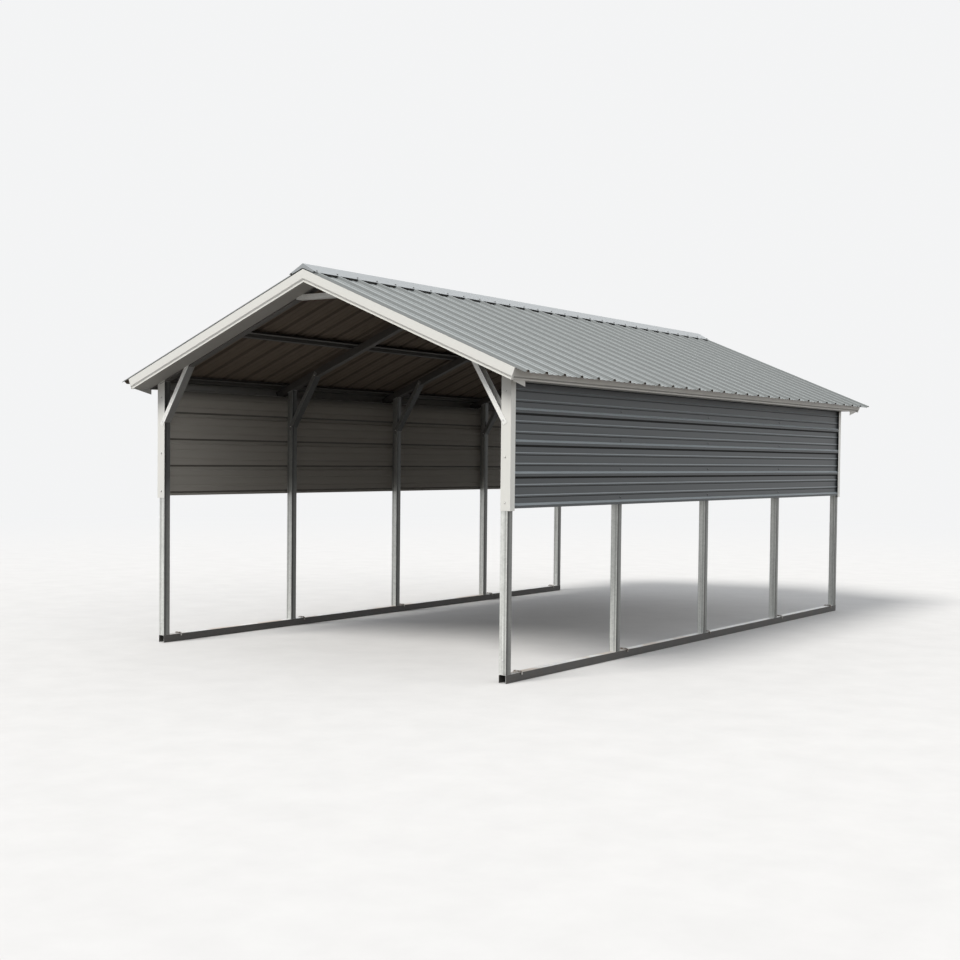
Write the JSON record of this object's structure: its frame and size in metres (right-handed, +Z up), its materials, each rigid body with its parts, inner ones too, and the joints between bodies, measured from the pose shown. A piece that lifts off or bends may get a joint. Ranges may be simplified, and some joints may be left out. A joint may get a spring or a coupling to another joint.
{
  "type": "steel carport",
  "caption": "Open-ended tubular steel carport with a ribbed sheet gable roof, boxed overhangs and a ribbed side sheet under each eave, on ground rails.",
  "frame": {"origin": "centre of the footprint on the ground, under the ridge", "axes": "+Z up, +Y along the ridge from the front opening to the back, +X to the right seen from the front"},
  "size_m": [4.2066, 6.4558, 3.0839],
  "materials": {
    "galvanised_tube": "galvanised, satin",
    "galvanised_channel": "galvanised, dull",
    "grey_roof_sheet": "coil-coated paint, semi-gloss",
    "grey_wall_sheet": "coil-coated paint, semi-gloss",
    "white_trim": "coil-coated paint, semi-gloss"
  },
  "bodies": {
    "root": {"left_base_rail": "galvanised_tube", "right_base_rail": "galvanised_tube", "left_post_1": "galvanised_tube", "left_post_2": "galvanised_tube", "left_post_3": "galvanised_tube", "left_post_4": "galvanised_tube", "left_post_5": "galvanised_tube", "right_post_1": "galvanised_tube", "right_post_2": "galvanised_tube", "right_post_3": "galvanised_tube", "right_post_4": "galvanised_tube", "right_post_5": "galvanised_tube", "left_rafter_1": "galvanised_tube", "left_rafter_2": "galvanised_tube", "left_rafter_3": "galvanised_tube", "left_rafter_4": "galvanised_tube", "left_rafter_5": "galvanised_tube", "right_rafter_1": "galvanised_tube", "right_rafter_2": "galvanised_tube", "right_rafter_3": "galvanised_tube", "right_rafter_4": "galvanised_tube", "right_rafter_5": "galvanised_tube", "left_knee_braces": "galvanised_channel", "right_knee_braces": "galvanised_channel", "peak_braces": "galvanised_channel", "left_hat_channels": "galvanised_channel", "right_hat_channels": "galvanised_channel", "left_roof_end_sheets": "grey_roof_sheet", "left_roof_sheets_odd": "grey_roof_sheet", "left_roof_sheets_even": "grey_roof_sheet", "right_roof_end_sheets": "grey_roof_sheet", "right_roof_sheets_odd": "grey_roof_sheet", "right_roof_sheets_even": "grey_roof_sheet", "ridge_cap": "grey_roof_sheet", "left_wall_sheet": "grey_wall_sheet", "right_wall_sheet": "grey_wall_sheet", "left_fascia": "white_trim", "right_fascia": "white_trim", "left_front_rake_trim": "white_trim", "left_back_rake_trim": "white_trim", "right_front_rake_trim": "white_trim", "right_back_rake_trim": "white_trim", "left_corner_trims": "white_trim", "right_corner_trims": "white_trim"}
  },
  "joints": []
}
